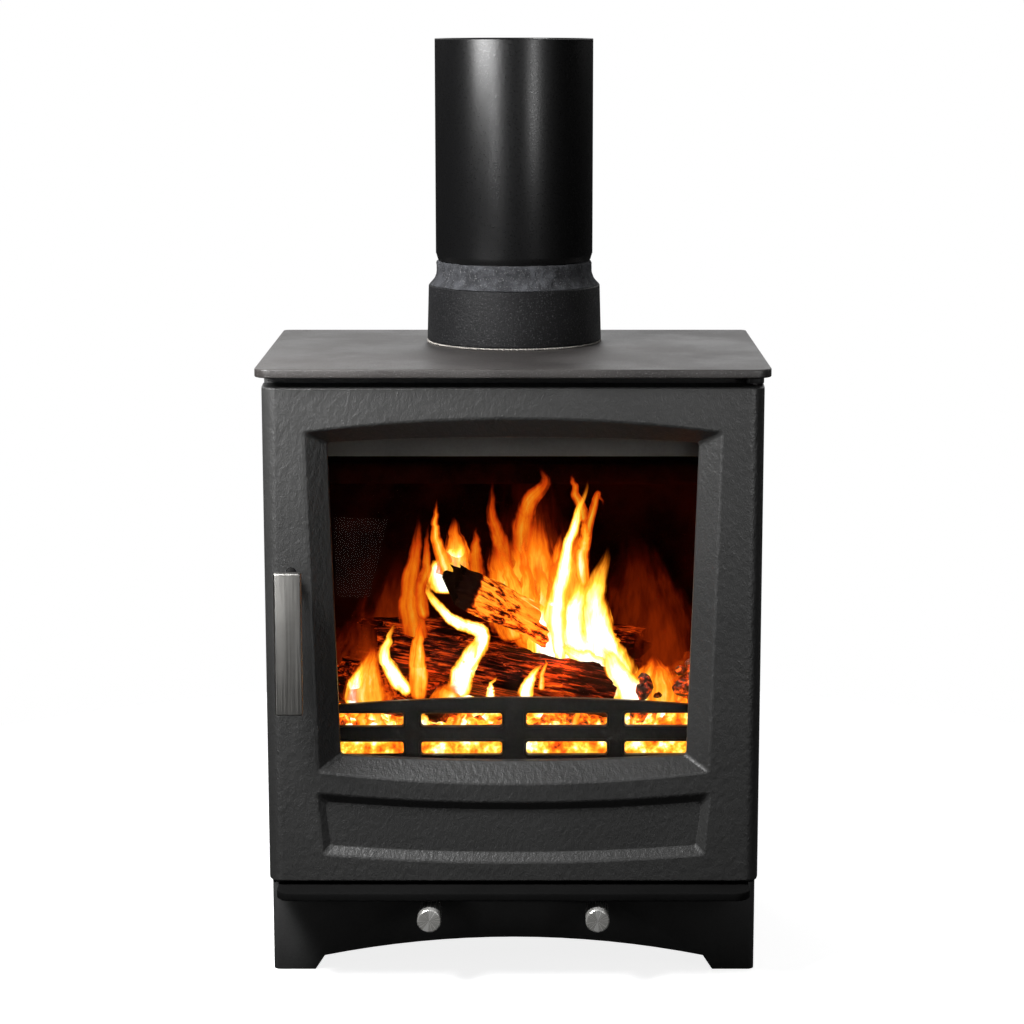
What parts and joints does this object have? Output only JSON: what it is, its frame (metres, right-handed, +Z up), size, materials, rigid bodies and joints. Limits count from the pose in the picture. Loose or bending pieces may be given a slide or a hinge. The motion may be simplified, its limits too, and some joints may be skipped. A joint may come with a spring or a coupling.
{
  "type": "multi-fuel stove",
  "caption": "Free-standing steel multi-fuel stove with a glazed cast door, plinth with arched legs, lever handle, pull knobs for air and a top flue collar with its stub of pipe.",
  "frame": {"origin": "on the floor under the middle of the object's box", "axes": "+Z up, -Y towards the user out of the door, +X to the right of someone who faces the door"},
  "size_m": [0.47, 0.35, 0.878],
  "materials": {
    "stove_paint": "satin heat-resisting charcoal paint with a fine grain",
    "plate_paint": "matt heat-resisting grey paint",
    "cast_paint": "satin charcoal paint over sand-cast iron, slightly pebbled",
    "raw_cast": "black sand-cast iron",
    "dark_steel": "blackened steel",
    "brushed_steel": "fine brushed stainless steel",
    "flue_black": "satin black vitreous enamel",
    "fire_cement": "rough dried fire cement",
    "rope_seal": "braided glass-fibre rope and tape",
    "firebrick": "vermiculite board, sooted",
    "stove_glass": "clear ceramic glass"
  },
  "bodies": {
    "stove": {"plinth": "stove_paint", "plinth_back": "stove_paint", "ash_lip": "stove_paint", "left_side_panel": "stove_paint", "right_side_panel": "stove_paint", "back_panel": "stove_paint", "firebox_floor": "stove_paint", "front_frame": "stove_paint", "top_plate": "plate_paint", "collar_seal": "rope_seal", "flue_collar": "raw_cast", "flue_pipe": "flue_black", "cement_joint": "fire_cement", "airwash_duct": "stove_paint", "airwash_riser_left": "stove_paint", "airwash_riser_right": "stove_paint", "firebrick_left": "firebrick", "firebrick_right": "firebrick", "firebrick_back": "firebrick", "throat_plate": "firebrick", "grate_support_left": "stove_paint", "grate_support_right": "stove_paint", "grate_frame": "raw_cast", "ash_pan": "dark_steel", "log_retainer": "raw_cast", "rear_heat_shield": "plate_paint", "shield_screw_left": "dark_steel", "shield_screw_right": "dark_steel", "hinge_tab_top": "dark_steel", "hinge_tab_foot": "dark_steel", "hinge_pin_top": "brushed_steel", "hinge_pin_foot": "brushed_steel", "latch_keeper": "dark_steel", "primary_guide": "stove_paint", "airwash_guide_left": "stove_paint", "airwash_guide_right": "stove_paint"},
    "door": {"door_frame": "cast_paint", "door_glass": "stove_glass", "glass_gasket": "rope_seal", "glass_clamp_top": "dark_steel", "glass_clamp_foot": "dark_steel", "clamp_screw_top_left": "dark_steel", "clamp_screw_top_right": "dark_steel", "clamp_screw_foot_left": "dark_steel", "clamp_screw_foot_right": "dark_steel", "door_rope_seal": "rope_seal", "spindle_bush": "dark_steel"},
    "handle": {"handle_lever": "brushed_steel", "handle_spindle": "dark_steel", "latch_cam": "dark_steel", "cam_nut": "brushed_steel"},
    "primary_air": {"primary_knob": "brushed_steel", "primary_rod": "dark_steel", "primary_shutter": "dark_steel"},
    "airwash_air": {"airwash_knob": "brushed_steel", "airwash_rod": "dark_steel", "airwash_shutter": "dark_steel"},
    "riddle": {"riddling_grate": "raw_cast"}
  },
  "joints": [
    {"name": "door_hinge", "type": "hinge", "parent": "stove", "child": "door", "pos_m": [0.222, -0.107, 0.099], "axis": [0, 0, 1], "range_deg": [0, 105]},
    {"name": "handle_turn", "type": "hinge", "parent": "door", "child": "handle", "pos_m": [-0.2045, -0.131, 0.3955], "axis": [0, 1, 0], "range_deg": [0, 90]},
    {"name": "primary_slide", "type": "slide", "parent": "stove", "child": "primary_air", "axis": [0, 1, 0], "range_m": [0, 0.024]},
    {"name": "airwash_slide", "type": "slide", "parent": "stove", "child": "airwash_air", "axis": [0, 1, 0], "range_m": [0, 0.024]},
    {"name": "riddle_slide", "type": "slide", "parent": "stove", "child": "riddle", "axis": [0, 1, 0], "range_m": [0, 0.011]}
  ]
}
